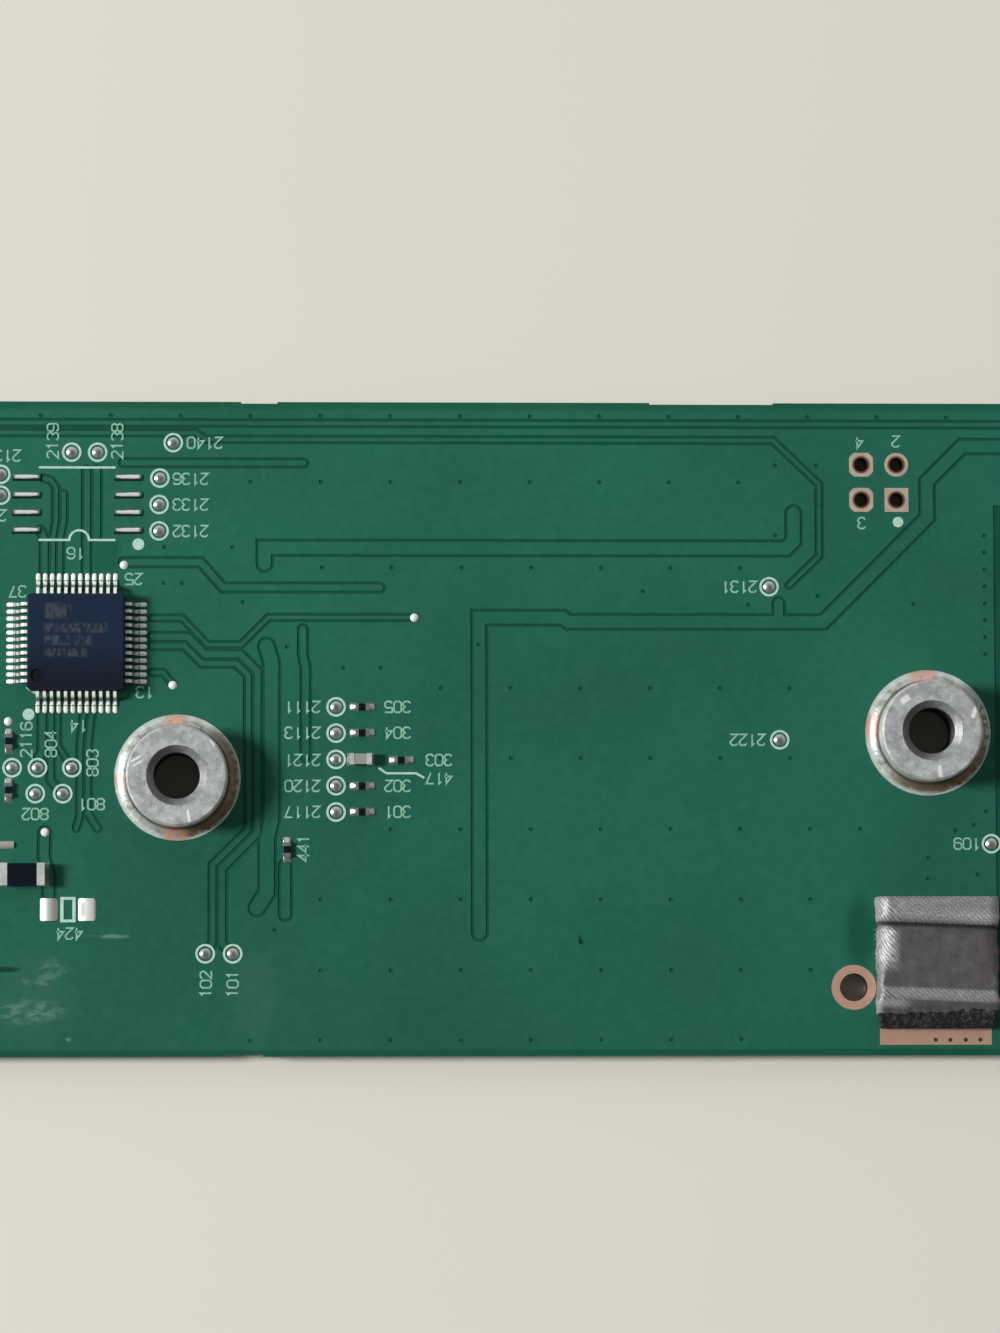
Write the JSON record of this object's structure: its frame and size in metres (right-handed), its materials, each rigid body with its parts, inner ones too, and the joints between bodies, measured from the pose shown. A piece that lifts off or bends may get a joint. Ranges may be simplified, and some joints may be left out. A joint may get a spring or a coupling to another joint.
{
  "type": "radio module board",
  "caption": "Green circuit board with a leaded controller package, two soldered threaded standoffs, a fabric-over-foam shielding gasket, test points, chip parts and open footprints.",
  "frame": {"origin": "middle of the board's flat underside", "axes": "+X along the board's length, +Y across its width, +Z out of the face that carries the parts"},
  "size_m": [0.084, 0.0468, 0.005],
  "materials": {
    "laminate": "satin green solder mask over glass laminate, darker where no copper lies under it",
    "package": "fine matte moulded epoxy",
    "tinned_lead": "bright tin",
    "solder": "bright reflowed solder, frosted in places",
    "standoff_metal": "tin-plated steel, rubbed and marked on the face",
    "copper": "bare copper with a thin clear preservative",
    "tape": "conductive adhesive tape",
    "foam": "black open-cell foam",
    "metallised_fabric": "grey metal-plated woven fabric",
    "pale_ceramic": "matte pinkish-grey ceramic",
    "dark_ceramic": "satin near-black ceramic",
    "legend_ink": "printed white ink"
  },
  "bodies": {
    "root": {"board": "laminate", "controller_body": "package", "controller_leads": "tinned_lead", "controller_lands": "solder", "controller_solder": "solder", "standoff_left": "standoff_metal", "standoff_right": "standoff_metal", "standoff_solder_left": "solder", "standoff_solder_right": "solder", "standoff_lands": "copper", "barrel_header": "copper", "barrel_tooling": "copper", "open_package_lands": "solder", "open_chip_lands": "solder", "gasket_land": "copper", "gasket_tape": "tape", "gasket_foam": "foam", "gasket_fabric": "metallised_fabric", "test_points": "solder", "via_plugs": "solder", "capacitor_body": "pale_ceramic", "capacitor_ends": "tinned_lead", "ferrite_body": "dark_ceramic", "ferrite_ends": "tinned_lead", "chip_lands": "solder", "chip_solder": "solder", "chip_body_1": "dark_ceramic", "chip_body_2": "dark_ceramic", "chip_body_3": "dark_ceramic", "chip_body_4": "dark_ceramic", "chip_body_5": "dark_ceramic", "chip_body_6": "dark_ceramic", "chip_body_7": "dark_ceramic", "chip_body_8": "dark_ceramic", "chip_ends_1": "tinned_lead", "chip_ends_2": "tinned_lead", "chip_ends_3": "tinned_lead", "chip_ends_4": "tinned_lead", "chip_ends_5": "tinned_lead", "chip_ends_6": "tinned_lead", "chip_ends_7": "tinned_lead", "chip_ends_8": "tinned_lead", "legend_rings": "legend_ink", "legend_marks": "legend_ink"}
  },
  "joints": []
}
